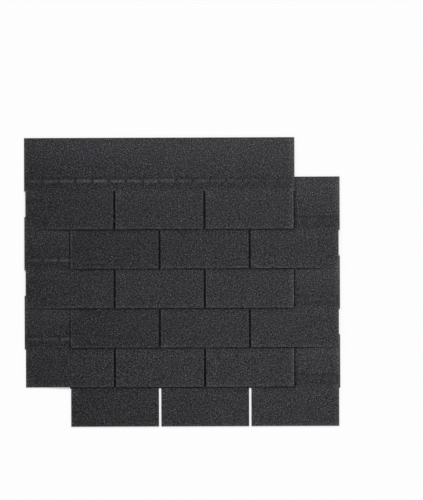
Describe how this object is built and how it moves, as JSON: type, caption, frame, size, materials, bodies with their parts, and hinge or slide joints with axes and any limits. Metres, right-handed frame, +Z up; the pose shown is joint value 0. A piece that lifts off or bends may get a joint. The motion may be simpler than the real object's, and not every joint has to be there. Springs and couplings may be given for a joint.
{
  "type": "asphalt shingle bundle",
  "caption": "Charcoal asphalt strip shingles with slotted tabs, kept together and lapped in staggered courses that rest on dashed self-seal strips.",
  "frame": {"origin": "on the floor under the middle of the lay-up's bounding box", "axes": "+X along the eaves to the right of the picture, +Y up the slope from the first course to the last, +Z up out of the granule faces"},
  "size_m": [1.1666, 1.068, 0.0113],
  "materials": {
    "granules": "matte",
    "sealant": "satin"
  },
  "bodies": {
    "root": {"shingle_course_1": "granules", "shingle_course_2": "granules", "shingle_course_3": "granules", "shingle_course_4": "granules", "shingle_course_5": "granules", "shingle_course_6": "granules", "sealant_dashes_1": "sealant", "sealant_dashes_2": "sealant", "sealant_dashes_3": "sealant", "sealant_dashes_4": "sealant", "sealant_dashes_5": "sealant", "sealant_dashes_6": "sealant"}
  },
  "joints": []
}
